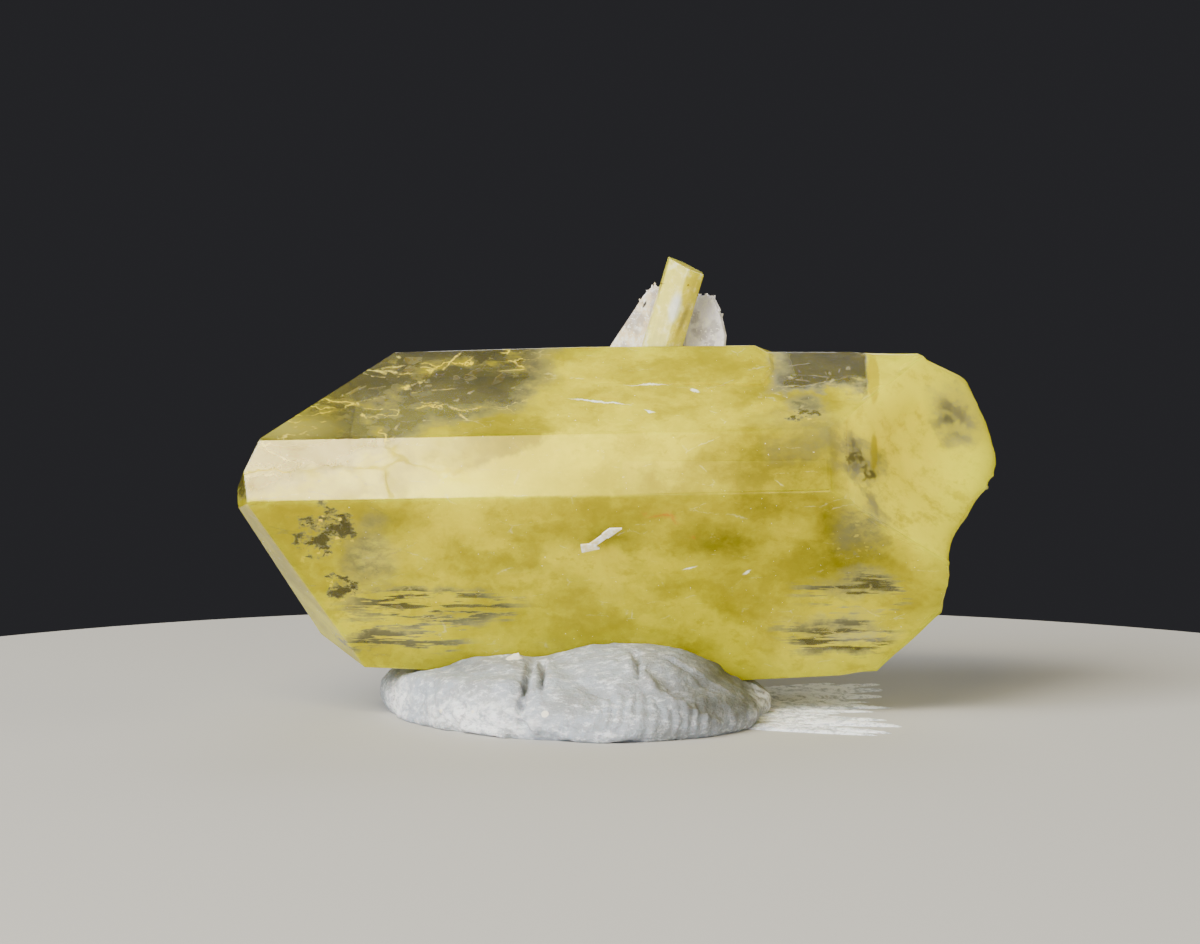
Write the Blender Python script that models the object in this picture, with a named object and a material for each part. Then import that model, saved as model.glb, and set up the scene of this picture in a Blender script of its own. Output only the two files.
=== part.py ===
"""A brazilianite crystal cluster on its lump of mounting putty.

A long yellow prism lies on its side, with its pointed end to the left and its broken end to the right. A
short second crystal and two books of mica stand on the face behind its top edge. Units are metres, +X runs
along the crystal, +Y away from the viewer and +Z up. The origin is on the resting surface, under the crystal.
"""
from math import cos, radians, sin

import bmesh
import bpy
from mathutils import Matrix, Vector

MM = 0.001
GAP = 0.3 * MM                              # air left between pieces that touch
BLOCK = 60 * MM                             # side of the block that each faceted piece is cut from

# The large crystal. A face is (heading, tilt, distance): heading in degrees from the front (-Y) towards +X,
# tilt in degrees above the horizontal, and distance in mm from the crystal's middle along that direction.
CRYSTAL_MIDDLE = Vector((0.0, 0.5, 9.9)) * MM
PRISM_FACES = {
    "upper front": (-0.1, 59.1, 7.14),
    "bright band": (1.0, 27.0, 7.64),
    "lower front": (1.9, -24.9, 6.32),
    "back top": (-179.8, 76.9, 7.69),
    "back bevel": (176.5, 44.0, 8.05),
    "back": (-178.9, 15.1, 7.58),
    "lower back": (-179.6, -18.4, 7.97),
    "back keel": (180.0, -61.6, 8.10),
    "keel left": (-20.6, -83.5, 8.19),
    "keel right": (37.1, -85.3, 8.57),
}
POINT_FACES = {
    "point top": (-114.8, 41.4, 12.77),
    "point shoulder": (-92.3, 25.1, 17.51),
    "point sliver": (-74.3, 0.0, 19.68),
    "point strip": (-64.1, -38.3, 14.80),
    "point back": (-102.5, -21.5, 15.35),
    "point under": (-110.6, -1.9, 15.33),
    "point heel": (-100.0, -62.2, 11.97),
}
BREAK_FACES = {
    "break top": (113.1, 64.0, 13.08),
    "break shoulder": (101.3, 24.6, 18.31),
    "break rim": (98.6, 11.8, 18.68),
    "break front": (35.0, 25.0, 11.69),
    "break side": (62.0, 2.0, 17.20),
    "break heel": (99.9, -42.7, 14.15),
    "break back": (142.0, 12.0, 15.20),
}
CRYSTAL_FACES = {**PRISM_FACES, **POINT_FACES, **BREAK_FACES}
NOTCH_FACES = {                             # the wedge that is missing below the right end's nose
    "slope": (99.9, -42.3, 12.19),
    "wall": (98.0, -4.0, 15.54),
}

# Growth layers that lie raised on the crystal. A layer has the crystal's faces, apart from those it lies on,
# given in "covers", and its own faces, in "faces". Its hidden sides stay a little inside the crystal.
LAYER_INSET = 0.04 * MM
GROWTH_LAYERS = {
    "top ledge": {
        "covers": ("upper front", "back top"),
        "faces": {
            "front": (-1.8, 55.8, 7.10),
            "top": (-177.9, 78.7, 8.02),
            "taper": (-171.6, 78.6, 8.06),
            "foot": (-1.3, -25.0, -0.33),
            "chamfer": (93.4, 62.5, 10.46),
            "end": (68.4, 33.8, 10.47),
            "corner": (49.2, 16.8, 8.74),
        },
    },
    "band plate": {
        "covers": ("bright band",),
        "faces": {
            "front": (0.55, 27.0, 7.64),    # a little askew, so the plate thins out to the right
            "brow": (-2.0, 88.0, 3.52),
        },
    },
    "back plate": {
        "covers": ("back", "back bevel"),
        "faces": {
            "bevel": (176.5, 44.0, 8.25),
            "front": (-178.9, 15.1, 7.86),
            "left": (-96.0, 8.0, 7.4),
            "right": (101.0, -6.0, 8.6),
            "foot": (-176.0, -74.0, -0.9),
        },
    },
    "low back plate": {
        "covers": ("lower back",),
        "faces": {
            "front": (-179.6, -18.4, 8.17),
            "right": (108.0, -10.0, 1.8),
            "brow": (176.0, 66.0, -1.2),
        },
    },
}
CHIPS = {                                   # shell-shaped hollows in the broken end: (middle, radius), in mm
    "nose hollow": ((19.5, -9.4, 16.7), 9.3),
    "rim nick": ((19.6, -1.6, 11.3), 1.3),
    "foot nick": ((17.6, -4.6, 5.2), 1.5),
    "heel nick": ((15.4, -5.6, 1.9), 1.6),
}

CHIP_DETAIL = 4                             # subdivisions of the ball that cuts a chip

# The small crystal: a six-sided prism leaning to the right. Its faces are measured in its own upright frame.
SMALL_MIDDLE = Vector((2.60, 2.2, 19.88)) * MM
SMALL_LEAN = radians(17.6)
SMALL_FACES = {
    "left": (-84.0, 0.0, 0.93),
    "front left": (-22.0, 0.0, 0.80),
    "front right": (38.0, 0.0, 0.84),
    "right": (96.0, 0.0, 0.96),
    "back right": (158.0, 0.0, 0.78),
    "back left": (-142.0, 0.0, 0.82),
    "top": (70.0, 81.5, 2.25),
}

# Each mica book is a stack of sheets that stand across +Y. An outline runs clockwise in (x, z), in mm, and
# the face that the book stands on cuts it at the foot. Each sheet stops its own distance short of it.
SHEET = 0.26 * MM                           # thickness of one sheet
SHEET_BITE = 0.03 * MM                      # how far neighbouring sheets run into each other
BOOK_FRONT = 3.32 * MM                      # y of the first sheet's front
LEFT_BOOK = ((-1.30, 17.0), (1.34, 20.66), (1.80, 21.04), (2.35, 20.75), (2.75, 17.0))
LEFT_BOOK_INSETS = (0.0, 0.16, 0.05, 0.24)
RIGHT_BOOK = ((3.15, 17.0), (3.30, 20.3), (4.00, 20.56), (4.40, 20.58), (4.72, 20.42), (5.06, 19.72),
              (5.36, 18.4), (5.20, 17.0))
RIGHT_BOOK_INSETS = (0.10, 0.0, 0.18)

# The putty: lumps pressed together. Each has its middle, its half length, half width and half height, in mm,
# and its turn about +Z in degrees.
LUMPS = {
    "left lobe": ((-5.4, -2.7, 0.8), (9.2, 5.2, 2.5), -57.0),
    "right lobe": ((0.4, -3.1, 0.7), (7.8, 8.4, 2.2), -12.0),
    "crown": ((0.2, -3.0, 1.4), (5.4, 6.6, 2.45), 0.0),
    "back lobe": ((-1.5, 3.0, 0.5), (7.4, 4.6, 2.3), 8.0),
}
LUMP_SEGMENTS = 40
SMEARS = {
    "long smear": ((9.6, 0.6, 0.0), (4.9, 1.7, 0.40), 17.0),
    "middle smear": ((8.8, -1.6, 0.0), (4.2, 1.5, 0.35), -8.0),
    "short smear": ((7.6, -3.9, 0.0), (4.0, 1.3, 0.35), -24.0),
    "far smear": ((8.4, 3.4, 0.0), (3.9, 1.5, 0.35), 12.0),
}


def direction(heading, tilt):
    """The unit vector at a heading from the front towards +X and a tilt above the horizontal."""
    h, t = radians(heading), radians(tilt)
    return Vector((sin(h) * cos(t), -cos(h) * cos(t), sin(t)))


def collection(name):
    made = bpy.data.collections.new(name)
    bpy.context.scene.collection.children.link(made)
    return made


def material(name, colour, roughness, alpha=1.0):
    made = bpy.data.materials.new(name)
    made.use_nodes = True
    shader = made.node_tree.nodes["Principled BSDF"]
    shader.inputs["Base Color"].default_value = (*colour, 1.0)
    shader.inputs["Roughness"].default_value = roughness
    shader.inputs["Metallic"].default_value = 0.0
    shader.inputs["Alpha"].default_value = alpha
    return made


def add_object(name, bm, group, look=None):
    """Turns a bmesh into a named object in a collection. Cutters have no look, and are drawn as wire."""
    bmesh.ops.recalc_face_normals(bm, faces=bm.faces)
    mesh = bpy.data.meshes.new(name)
    bm.to_mesh(mesh)
    bm.free()
    made = bpy.data.objects.new(name, mesh)
    group.objects.link(made)
    if look is None:
        made.hide_render = True
        made.display_type = "WIRE"
    else:
        mesh.materials.append(look)
    return made


def cut(bm, point, normal):
    """Cuts away all that lies past a plane and closes the solid with one flat face."""
    found = bmesh.ops.bisect_plane(bm, geom=bm.verts[:] + bm.edges[:] + bm.faces[:], dist=1e-7,
                                   plane_co=point, plane_no=normal, clear_outer=True)
    edges = [item for item in found["geom_cut"] if isinstance(item, bmesh.types.BMEdge)]
    if edges:
        bmesh.ops.contextual_create(bm, geom=edges)


def carve(bm, middle, faces, grow=0.0):
    """Cuts a solid by crystal faces. With grow, each face lies that much further out."""
    for heading, tilt, distance in faces.values():
        normal = direction(heading, tilt)
        cut(bm, middle + normal * (distance * MM + grow), normal)


def block(middle, size=BLOCK):
    bm = bmesh.new()
    bmesh.ops.create_cube(bm, size=size, matrix=Matrix.Translation(middle))
    return bm


def boolean(target, operation, cutter):
    made = target.modifiers.new(f"{operation.lower()} {cutter.name}", "BOOLEAN")
    made.operation = operation
    made.object = cutter


def seat(bm):
    """Cuts a small piece's foot off along the top ledge's face, on which it stands."""
    heading, tilt, distance = GROWTH_LAYERS["top ledge"]["faces"]["top"]
    normal = direction(heading, tilt)
    cut(bm, CRYSTAL_MIDDLE + normal * (distance * MM + GAP), -normal)


def make_crystal(parts, cutters):
    look = material("brazilianite", (0.55, 0.46, 0.08), 0.12, 0.7)
    bm = block(CRYSTAL_MIDDLE)
    carve(bm, CRYSTAL_MIDDLE, CRYSTAL_FACES)
    crystal = add_object("brazilianite_crystal", bm, parts, look)

    for name, layer in GROWTH_LAYERS.items():
        bm = block(CRYSTAL_MIDDLE)
        carve(bm, CRYSTAL_MIDDLE, layer["faces"])
        shared = {key: face for key, face in CRYSTAL_FACES.items() if key not in layer["covers"]}
        carve(bm, CRYSTAL_MIDDLE, shared, grow=-LAYER_INSET)
        boolean(crystal, "UNION", add_object(name, bm, cutters))

    bm = block(CRYSTAL_MIDDLE)
    for heading, tilt, distance in NOTCH_FACES.values():
        normal = direction(heading, tilt)
        cut(bm, CRYSTAL_MIDDLE + normal * distance * MM, -normal)
    boolean(crystal, "DIFFERENCE", add_object("notch", bm, cutters))

    for name, (middle, radius) in CHIPS.items():
        bm = bmesh.new()
        place = Matrix.Translation(Vector(middle) * MM)
        bmesh.ops.create_icosphere(bm, subdivisions=CHIP_DETAIL, radius=radius * MM, matrix=place)
        boolean(crystal, "DIFFERENCE", add_object(name, bm, cutters))


def make_small_crystal(parts):
    look = material("pale brazilianite", (0.62, 0.56, 0.28), 0.12, 0.7)
    bm = block(Vector())
    carve(bm, Vector(), SMALL_FACES)
    place = Matrix.Translation(SMALL_MIDDLE) @ Matrix.Rotation(SMALL_LEAN, 4, "Y")
    bmesh.ops.transform(bm, matrix=place, verts=bm.verts)
    seat(bm)
    add_object("small_crystal", bm, parts, look)


def mica_sheet(outline, inset, front):
    """One flat sheet: a thin block, cut along each side of the outline."""
    corners = [Vector((x, 0.0, z)) * MM for x, z in outline]
    bm = block(Vector((0.0, front + SHEET / 2, corners[0].z)))
    across = Vector((0.0, 1.0, 0.0))
    cut(bm, Vector((0.0, front, 0.0)), -across)
    cut(bm, Vector((0.0, front + SHEET + SHEET_BITE, 0.0)), across)
    for start, end in zip(corners, corners[1:]):
        outward = (end - start).cross(across).normalized()
        cut(bm, start - outward * inset * MM, outward)
    seat(bm)
    return bm


def make_mica_book(name, outline, insets, look, parts, cutters):
    for number, inset in enumerate(insets):
        bm = mica_sheet(outline, inset, BOOK_FRONT + number * SHEET)
        if number == 0:
            book = add_object(name, bm, parts, look)
        else:
            boolean(book, "UNION", add_object(f"{name} sheet {number + 1}", bm, cutters))


def lump(middle, radii, turn):
    bm = bmesh.new()
    place = (Matrix.Translation(Vector(middle) * MM) @ Matrix.Rotation(radians(turn), 4, "Z")
             @ Matrix.Diagonal((*[r * MM for r in radii], 1.0)))
    bmesh.ops.create_uvsphere(bm, u_segments=LUMP_SEGMENTS, v_segments=LUMP_SEGMENTS // 2, radius=1.0,
                              matrix=place)
    return bm


def make_putty(parts, cutters):
    look = material("putty", (0.50, 0.51, 0.51), 0.6)
    pieces = {**LUMPS, **SMEARS}
    for number, (name, shape) in enumerate(pieces.items()):
        if number == 0:
            putty = add_object("putty", lump(*shape), parts, look)
        else:
            boolean(putty, "UNION", add_object(name, lump(*shape), cutters))
    floor = block(Vector((0.0, 0.0, -BLOCK / 2)))
    boolean(putty, "DIFFERENCE", add_object("resting surface", floor, cutters))
    room = block(CRYSTAL_MIDDLE)
    carve(room, CRYSTAL_MIDDLE, CRYSTAL_FACES, grow=GAP)
    boolean(putty, "DIFFERENCE", add_object("room for the crystal", room, cutters))


def main():
    for old in list(bpy.data.objects):
        bpy.data.objects.remove(old, do_unlink=True)
    parts = collection("brazilianite crystal cluster")
    cutters = collection("cutters")
    make_crystal(parts, cutters)
    make_small_crystal(parts)
    mica = material("mica", (0.62, 0.60, 0.52), 0.25, 0.8)
    make_mica_book("mica_blade_left", LEFT_BOOK, LEFT_BOOK_INSETS, mica, parts, cutters)
    make_mica_book("mica_blade_right", RIGHT_BOOK, RIGHT_BOOK_INSETS, mica, parts, cutters)
    make_putty(parts, cutters)


main()
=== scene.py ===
"""Dresses a brazilianite crystal cluster: the large crystal, the small one, two books of mica and the putty.

Everything is in metres, in the frame of the solids that it is built around: +X runs along the large crystal,
+Y away from the viewer and +Z up, with the origin on the resting surface.
"""

import math
import random

import bmesh
import bpy
from bpy.props import FloatProperty, FloatVectorProperty, PointerProperty
from mathutils import Matrix, Vector


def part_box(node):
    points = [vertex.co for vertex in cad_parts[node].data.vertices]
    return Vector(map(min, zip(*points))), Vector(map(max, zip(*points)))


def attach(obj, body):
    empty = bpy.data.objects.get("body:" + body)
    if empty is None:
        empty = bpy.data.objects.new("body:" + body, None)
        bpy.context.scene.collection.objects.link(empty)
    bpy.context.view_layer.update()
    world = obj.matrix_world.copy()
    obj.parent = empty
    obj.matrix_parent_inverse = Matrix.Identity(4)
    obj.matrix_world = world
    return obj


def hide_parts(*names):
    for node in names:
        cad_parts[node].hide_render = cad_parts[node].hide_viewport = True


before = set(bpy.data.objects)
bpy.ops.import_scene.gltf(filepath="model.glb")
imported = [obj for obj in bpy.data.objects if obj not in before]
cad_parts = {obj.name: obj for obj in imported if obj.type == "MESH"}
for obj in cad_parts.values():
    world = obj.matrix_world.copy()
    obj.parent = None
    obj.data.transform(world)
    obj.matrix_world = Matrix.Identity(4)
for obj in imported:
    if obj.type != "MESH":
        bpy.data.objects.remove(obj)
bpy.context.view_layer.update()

bl_info = {
    "name": "Brazilianite cluster",
    "version": (1, 0, 0),
    "blender": (4, 5, 0),
    "location": "3D View > Sidebar > Brazilianite",
    "description": "Dresses a brazilianite crystal cluster on its mounting putty",
    "category": "Add Mesh",
}

MM = 0.001
BLOCK = 60 * MM  # side of the block that a faceted piece is cut from
BODY = "root"
MERGE = 1e-7  # how near a cut a vertex may lie and still be left where it is
WELD = 1e-6  # how near vertices of a solid may lie and still become one
FLAT = math.radians(0.3)  # how far faces of a solid may turn and still become one
BRAZILIANITE_IOR = 1.61
MICA_IOR = 1.57
FLOOR_THICKNESS = 2 * MM

# Soft lights: heading and tilt from the crystal's middle in degrees, distance, width and height in metres.
LIGHTS = (
    ("key", -44.0, 37.0, 0.50, 0.40, 0.30, "#ffffff"),
    ("band", -17.0, 46.2, 0.55, 0.245, 0.10, "#ffecb4"),
    ("fill", -34.0, 7.0, 0.70, 0.50, 0.24, "#ffffff"),
    ("back", 165.0, 38.0, 0.50, 0.30, 0.20, "#ffffff"),
    ("rim", 84.0, 30.0, 0.50, 0.40, 0.36, "#fff0b8"),
    ("side", 16.0, 18.0, 0.60, 0.26, 0.20, "#ffffff"),
    ("sky", 180.0, 68.0, 0.60, 0.40, 0.24, "#ffffff"),
)

# The large crystal's faces: heading in degrees from the front (-Y) towards +X, tilt in degrees above the
# horizontal, and distance in mm from the crystal's middle.
CRYSTAL_MIDDLE = Vector((0.0, 0.5, 9.9)) * MM
PRISM_FACES = {
    "upper front": (-0.1, 59.1, 7.14),
    "bright band": (1.0, 27.0, 7.64),
    "lower front": (1.9, -24.9, 6.32),
    "back top": (-179.8, 76.9, 7.69),
    "back bevel": (176.5, 44.0, 8.05),
    "back": (-178.9, 15.1, 7.58),
    "lower back": (-179.6, -18.4, 7.97),
    "back keel": (180.0, -61.6, 8.10),
    "keel left": (-20.6, -83.5, 8.19),
    "keel right": (37.1, -85.3, 8.57),
}
POINT_FACES = {
    "point top": (-114.8, 41.4, 12.77),
    "point shoulder": (-92.3, 25.1, 17.51),
    "point sliver": (-74.3, 0.0, 19.68),
    "point strip": (-64.1, -38.3, 14.80),
    "point back": (-102.5, -21.5, 15.35),
    "point under": (-110.6, -1.9, 15.33),
    "point heel": (-100.0, -62.2, 11.97),
}
BREAK_FACES = {
    "break top": (113.1, 64.0, 13.08),
    "break shoulder": (101.3, 24.6, 18.31),
    "break rim": (98.6, 11.8, 18.68),
    "break front": (35.0, 25.0, 11.69),
    "break side": (62.0, 2.0, 17.20),
    "break heel": (99.9, -42.7, 14.15),
    "break back": (142.0, 12.0, 15.20),
}
CRYSTAL_FACES = {**PRISM_FACES, **POINT_FACES, **BREAK_FACES}

# Growth layers on the crystal: the crystal's faces that each one covers, and its own faces.
GROWTH_LAYERS = (
    (("upper front", "back top"), {
        "front": (-1.8, 55.8, 7.10),
        "top": (-177.9, 78.7, 8.02),
        "taper": (-171.6, 78.6, 8.06),
        "foot": (-1.3, -25.0, -0.33),
        "chamfer": (93.4, 62.5, 10.46),
        "end": (68.4, 33.8, 10.47),
        "corner": (49.2, 16.8, 8.74)}),
    (("bright band",), {
        "front": (0.55, 27.0, 7.64),
        "brow": (-2.0, 88.0, 3.52)}),
    (("back", "back bevel"), {
        "bevel": (176.5, 44.0, 8.25),
        "front": (-178.9, 15.1, 7.86),
        "left": (-96.0, 8.0, 7.4),
        "right": (101.0, -6.0, 8.6),
        "foot": (-176.0, -74.0, -0.9)}),
    (("lower back",), {
        "front": (-179.6, -18.4, 8.17),
        "right": (108.0, -10.0, 1.8),
        "brow": (176.0, 66.0, -1.2)}),
)
LAYER_INSET = 0.04 * MM  # how far a layer's hidden sides stay inside the crystal
NOTCH_FACES = ((99.9, -42.3, 12.19), (98.0, -4.0, 15.54))
# Shell-shaped hollows in the broken end: middle and radius in mm.
CHIPS = (
    ((19.5, -9.4, 16.7), 9.3),
    ((19.6, -1.6, 11.3), 1.3),
    ((17.6, -4.6, 5.2), 1.5),
    ((15.4, -5.6, 1.9), 1.6),
)
ON_FACE = 0.01 * MM  # how near a plain face a point still counts as on it
BREAK_RAMP = 0.3 * MM  # how far inside the plain faces the broken end's roughness is full
LEDGE_TOP = (-177.9, 78.7)  # heading and tilt of the face that the small crystal and the mica stand on
MICA_SHEETS = 6  # sheets in each book of mica
MICA_SPLINTERS = 4  # splinters on the rim of each sheet
MICA_GAP = 0.08  # share of a sheet's place that stays open on each side of it
MICA_TRIM = (-0.1, 0.3)  # least and most that is cut from a sheet's rim, in mm
SPLINTER_SIZES = ((0.06, 0.16), (0.02, 0.05), (0.03, 0.08))  # least and most half sizes in mm
FOOT_DROP = 0.27 * MM  # how far the small crystal and the mica come down to the ledge
SMALL_EDGE = 0.045 * MM  # width of the bright line along the small crystal's edges

# The putty's lumps: middle, half length, half width and half height in mm, and turn about +Z in degrees.
LUMPS = (
    ((-5.4, -2.7, 0.8), (9.2, 5.2, 2.5), -57),
    ((0.2, -3.1, 0.7), (7.3, 8.3, 2.2), -12),
    ((0.2, -3, 1.4), (5.4, 6.6, 2.45), 0),
    ((-1.5, 3, 0.5), (7.4, 4.6, 2.3), 8),
)
# Crumbs stuck to the putty: middle and radius in mm.
CRUMBS = (
    ((-5.25, -4.35, 3.22), 0.24),
    ((-5.00, -4.30, 3.36), 0.20),
    ((-5.42, -4.55, 3.10), 0.17),
    ((-3.65, -10.45, 1.30), 0.13),
    ((-8.82, -6.95, 0.95), 0.09),
    ((-7.22, -8.55, 1.15), 0.08),
)

# What fingers left in the putty: a path in mm, its half width in mm, and its height in mm, which is negative
# for a crease.
PUTTY_MARKS = (
    (((-4.3, -3.6, 3.3), (-4.5, -6.8, 2.9), (-4.75, -8.9, 2.2), (-4.8, -10.2, 0.9)), 0.95, -0.20),
    (((-4.3, -3.6, 3.3), (-4.45, -6.8, 2.9), (-4.8, -8.9, 2.2), (-4.95, -10, 1.3)), 0.26, -0.60),
    (((-3.9, -4.6, 3.2), (-3.75, -7, 2.9), (-3.85, -8.6, 2.4), (-3.6, -9.8, 1.7)), 0.24, -0.50),
    (((-4.15, -4.6, 3.2), (-4.2, -7, 2.9), (-4.25, -9, 2.1)), 0.22, 0.16),
    (((-3.9, -5.3, 3.1), (-3.3, -4.8, 3.2), (-2.3, -4.5, 3.3)), 0.28, -0.30),
    (((-4.9, -9.9, 0.9), (-4.5, -10.5, 0.2)), 0.30, -0.35),
    (((-4.3, -10.4, 0.9), (-4, -10.6, 0.2)), 0.26, 0.25),
    (((-10.7, -2.7, 1.8), (-9.2, -5, 2.1), (-7.7, -7, 2.1), (-5.9, -8.2, 2.3), (-5.3, -8.4, 2.4)),
     0.9, 0.28),
    (((-9.6, -2.2, 2.1), (-8.2, -4.1, 2.5), (-6.9, -5.6, 2.6), (-5.6, -6.6, 2.8)), 1, -0.22),
    (((-11.3, -1.7, 1.3), (-10.9, -1.6, 1.9)), 0.22, -0.24),
    (((6.6, -3.6, 1.6), (7.2, -4.6, 0.8)), 2.2, -0.50),
    (((-11, -3, 0.2), (-10.1, -4.8, 0.2), (-9.4, -5.9, 0.2), (-8.4, -7.2, 0.2)), 0.34, 0.24),
    (((-7.6, -8, 0.2), (-6.8, -8.8, 0.2), (-5.6, -9.6, 0.2)), 0.34, 0.20),
    (((-2.8, -10.8, 0.2), (-1.7, -11, 0.15), (-0.5, -11.2, 0.2), (0.6, -11.3, 0.3)), 0.45, 0.24),
    (((0.7, -5.6, 3.6), (0.85, -7.5, 3.1), (0.95, -8.3, 2.8)), 0.34, -0.30),
    (((0.4, -6, 3.5), (0.45, -7.6, 3.1)), 0.5, 0.12),
    (((1, -8, 3), (1.6, -9, 2.3), (2.4, -9.8, 1.9), (3.8, -10, 1.4), (5.2, -9.5, 0.9)), 0.55, 0.30),
    (((1.7, -7.6, 2.9), (2.6, -8.6, 2.2), (3.8, -9.2, 1.7), (5, -8.8, 1.3)), 0.8, -0.20),
    (((2.6, -6.2, 3.2), (4.6, -7.4, 1.9)), 0.35, -0.10),
    (((2, -5.6, 3.5), (4.2, -6.4, 2.5), (6, -7, 1.2)), 0.35, 0.10),
    (((-1.6, -8.6, 2.5), (-0.9, -9.4, 2.2)), 0.9, -0.14),
    (((-9.8, -5.2, 1.2),) * 2, 0.6, -0.16),
    (((-8.8, -6.4, 1.5),) * 2, 0.5, 0.14),
    (((-7.7, -7.8, 1.3),) * 2, 0.6, -0.16),
    (((-6.6, -9, 1.2),) * 2, 0.5, 0.12),
    (((-5.8, -9.1, 1.7),) * 2, 0.5, -0.14),
    (((-8.3, -7.3, 0.9),) * 2, 0.4, -0.12),
)
# Painted shade in the putty's creases and on the slope above its left bend: middle, half sizes, edge and turn.
CREASE_SHADE = (
    ((-4.65, -7.6, 2.4), (0.30, 3.6, 1.6), 0.8),
    ((-3.85, -7.4, 2.6), (0.26, 2.9, 1.2), 0.8),
    ((0.85, -7, 3.2), (0.22, 1.6, 0.6), 0.8),
    ((-7.6, -3.9, 2.7), (3.2, 1.8, 0.6), 1, (0, 0, -40)),
)
# Painted light: the putty's left end and lower left front, painted whiter.
PAINTED_LIGHT_ZONES = (
    ((-10.9, -2.6, 0.9), (1.7, 3, 1.5), 0.7),
    ((-7, -8.4, 0.7), (6, 4, 1.7), 1, (0, 0, -35)),
)
RIDGE_MIDDLE = Vector((-1.9, -10.6, 1.3)) * MM  # what the ridges of the finger mark run round
RIDGE_PATH = ((-0.4, -10.3, 1.7), (1.6, -10.1, 1.8), (3.6, -10.0, 1.5))
RIDGE_SPACING = 0.54 * MM
RIDGE_REACH = 2.3 * MM  # how far from that path the ridges reach
RIDGE_HEIGHT = 0.13 * MM
WOOD_PERIOD = 0.314  # spacing of the wood texture's rings in its own units
CLAY_CLOUDS = ((1.8, 3, 0.24), (0.5, 3, 0.15))  # unevenness of the clay: size in mm, depth and height in mm

SMEAR_STREAKS = 40  # streaks of putty wiped off to the right
SMEAR_FROM = ((3.8, -5.6), (5.0, 4.4))  # first and last start in mm
SMEAR_HEADINGS = (-20.0, 30.0)  # first and last direction in degrees from +X
SMEAR_END = 14.2  # how far the streaks may reach in X, in mm
SMEAR_LENGTHS = (5.5, 9.5)  # least and most in mm
SMEAR_HALF_WIDTHS = (0.18, 0.46)  # least and most in mm
SMEAR_HEIGHTS = (0.45, 0.75)  # least and most, as a share of the half width
SMEAR_FOOT = 0.1 * MM  # height that a streak's roughness takes to grow from nothing


def linear(code):
    """An sRGB hex colour as linear red, green and blue."""
    channels = [int(code[i:i + 2], 16) / 255 for i in (1, 3, 5)]
    return tuple(c / 12.92 if c <= 0.04045 else ((c + 0.055) / 1.055) ** 2.4 for c in channels)


def rgba(colour):
    """A colour for a node's input, from a hex code or three values. A socket stays as it is."""
    if is_socket(colour):
        return colour
    return (*(linear(colour) if isinstance(colour, str) else colour), 1.0)


def direction(heading, tilt):
    """The unit vector at a heading from the front towards +X and a tilt above the horizontal, in degrees."""
    h, t = math.radians(heading), math.radians(tilt)
    return Vector((math.sin(h) * math.cos(t), -math.cos(h) * math.cos(t), math.sin(t)))


def a_length(name, description, mm):
    return FloatProperty(name=name, description=description, default=mm * MM, unit="LENGTH")


def a_colour(name, description, code):
    return FloatVectorProperty(name=name, description=description, default=linear(code), size=3,
                               subtype="COLOR")


def a_light(name, place, radiance):
    return FloatProperty(name=name, description="Radiance of the softbox " + place, default=radiance)


def a_share(name, description, share):
    return FloatProperty(name=name, description=description, default=share, min=0.0, max=1.0)


def a_place(name, description, place):
    return FloatVectorProperty(name=name, description=description, default=place, size=3,
                               subtype="TRANSLATION")


class StageSettings(bpy.types.PropertyGroup):
    floor_radius: a_length("Floor radius", "Radius of the round pale floor", 54)
    floor_middle: a_place("Floor middle", "Where the floor's middle lies", (0.0, -16 * MM, 0.0))
    floor_colour: a_colour("Floor colour", "Colour of the matt floor", "#b4b3b0")
    room_colour: a_colour("Room colour", "Colour of the dark room round it", "#2a2a2d")
    key_light: a_light("Key light", "at the upper left", 13.2)
    band_light: a_light("Band light", "that the band mirrors", 20.5)
    fill_light: a_light("Fill light", "in front", 4.0)
    back_light: a_light("Back light", "behind the crystal", 3.0)
    sky_light: a_light("Sky light", "that the upper face mirrors", 0.25)
    rim_light: a_light("Rim light", "that the broken end meets", 1.4)
    side_light: a_light("Side light", "at the front right", 5.5)
    camera_place: a_place("Camera", "Where the photograph was taken from", (-0.001, -0.2983, 0.045))
    camera_pitch: FloatProperty(name="Camera pitch", description="How far the camera looks down",
                                default=math.radians(6.33), subtype="ANGLE")
    camera_lens: FloatProperty(name="Lens", description="Focal length in mm on a 36 mm sensor",
                               default=180.84, min=1.0)


class CrystalSettings(bpy.types.PropertyGroup):
    edge: a_length("Edge width", "Width of the bright line along a crystal edge", 0.07)
    layer_edge: a_length("Layer edge", "Width of the line along a growth layer's edge", 0.03)
    slice: a_length("Slice", "Spacing of the cuts that carry the broken end's relief", 0.28)
    slice_from: a_length("Slices start", "Where along the crystal the cuts start", 10.0)
    blend: a_length("Blend", "How far from the broken end the flat faces round over", 1.3)
    break_relief: a_length("Break relief", "Depth of the broken end's rough surface", 0.22)
    milk_colour: a_colour("Milky colour", "Colour of the cloudy yellow body", "#f5ea22")
    deep_colour: a_colour("Deep colour", "Colour of the body's deeper patches", "#bfb308")
    pale_colour: a_colour("Pale colour", "Colour of the whitish clouds", "#f8f040")
    golden_colour: a_colour("Golden colour", "Colour of the strongest yellow", "#dcd000")
    clear_colour: a_colour("Clear colour", "Colour of the haze in a clear zone", "#cccaa4")
    pit_colour: a_colour("Pit colour", "Colour of the dark pits and windows", "#8e8c78")
    olive_colour: a_colour("Olive colour", "Colour of the darkest cloudy patches", "#8c8202")
    milk_see: a_share("Milky share", "Share of light that the densest milk lets through", 0.26)
    clear_see: a_share("Clear share", "Share of light that a clear zone lets through", 0.90)
    glow_depth: a_length("Glow depth", "How far light spreads inside the milk", 5)


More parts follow.
